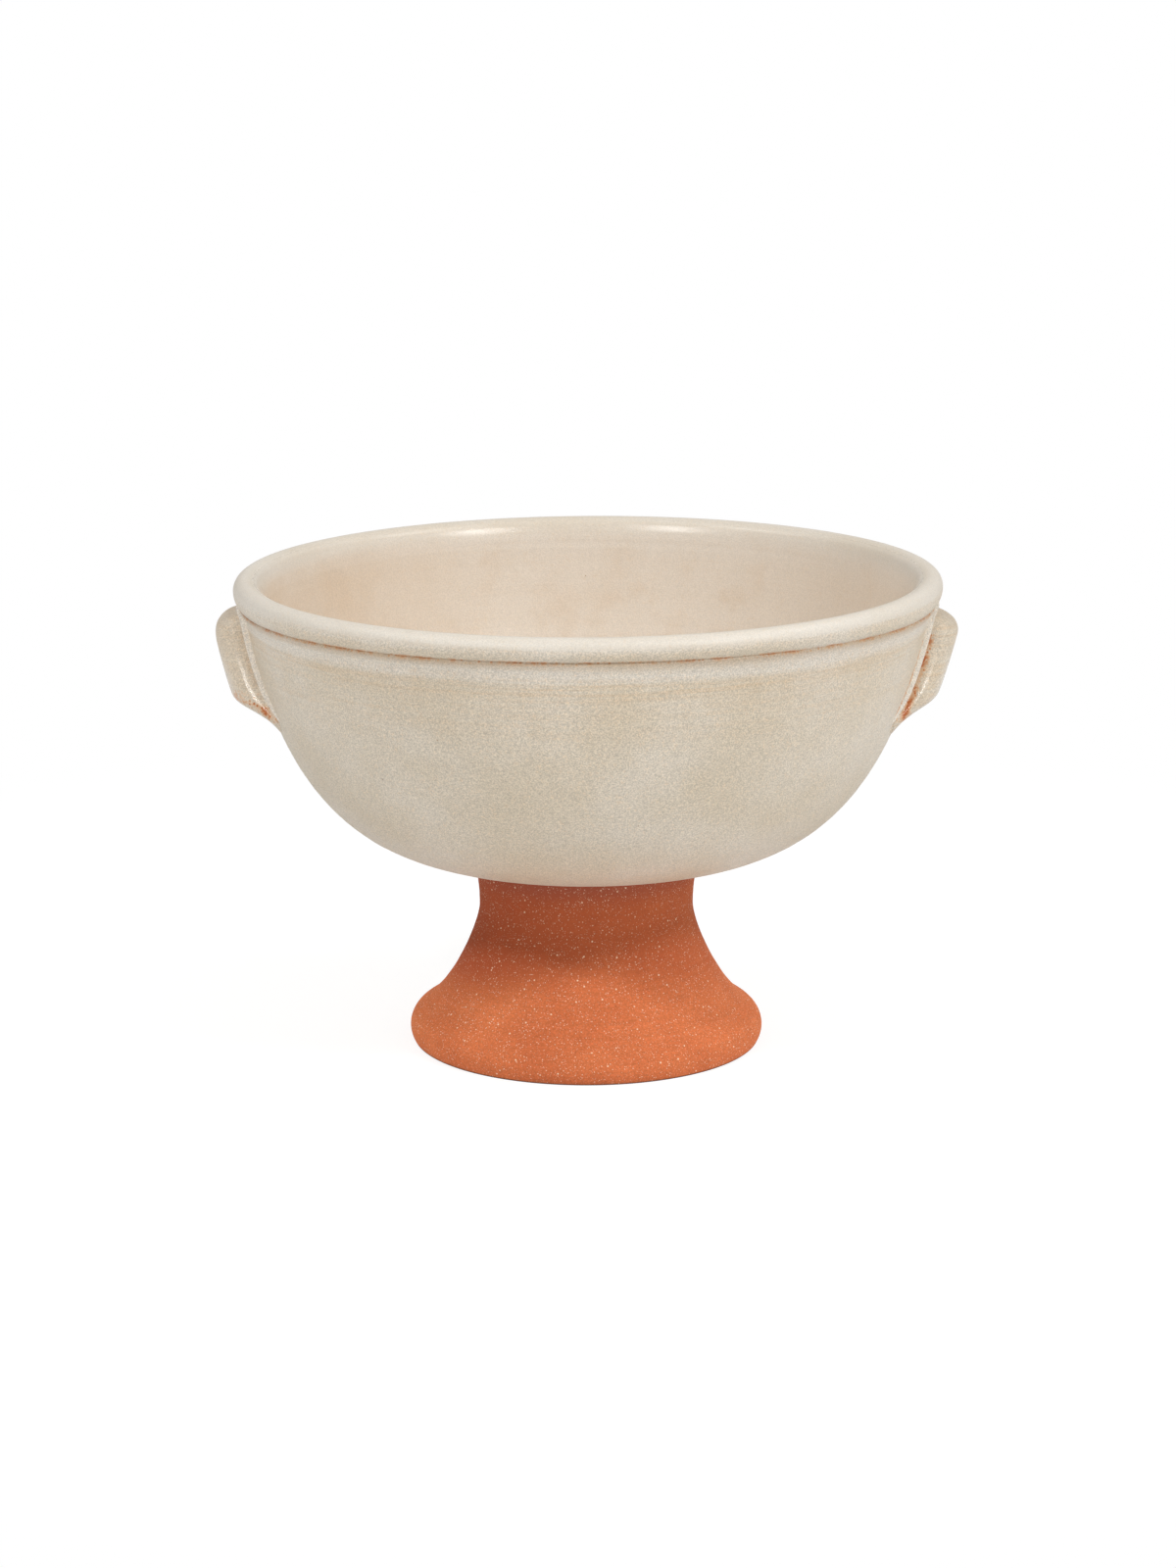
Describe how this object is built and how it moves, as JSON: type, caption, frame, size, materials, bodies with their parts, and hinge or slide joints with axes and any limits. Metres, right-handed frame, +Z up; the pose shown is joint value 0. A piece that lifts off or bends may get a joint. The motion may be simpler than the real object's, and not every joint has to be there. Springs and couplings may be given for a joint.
{
  "type": "footed compote bowl",
  "caption": "Deep round ceramic bowl with a rolled rim and side lugs, glazed cream, standing on a flared bare terracotta pedestal foot; holds fruit or sweets on a table.",
  "frame": {"origin": "on the table under the middle of the foot", "axes": "+Z up along the bowl's own axis, +X through the right lug as the picture shows it, -Y towards the viewer"},
  "size_m": [0.2942, 0.28, 0.1915],
  "materials": {
    "glaze": "satin cream glaze over stoneware, rust brown where it breaks at edges",
    "terracotta": "bare matte terracotta with pale grog specks",
    "slip": "fired clay slip, matte"
  },
  "bodies": {
    "root": {"bowl": "glaze", "pedestal_foot": "terracotta", "foot_slip_ring": "slip", "lug_left": "glaze", "lug_right": "glaze", "lug_slip_left": "slip", "lug_slip_right": "slip", "seam_coil_left_front": "glaze", "seam_coil_left_back": "glaze", "seam_coil_right_front": "glaze", "seam_coil_right_back": "glaze"}
  },
  "joints": []
}
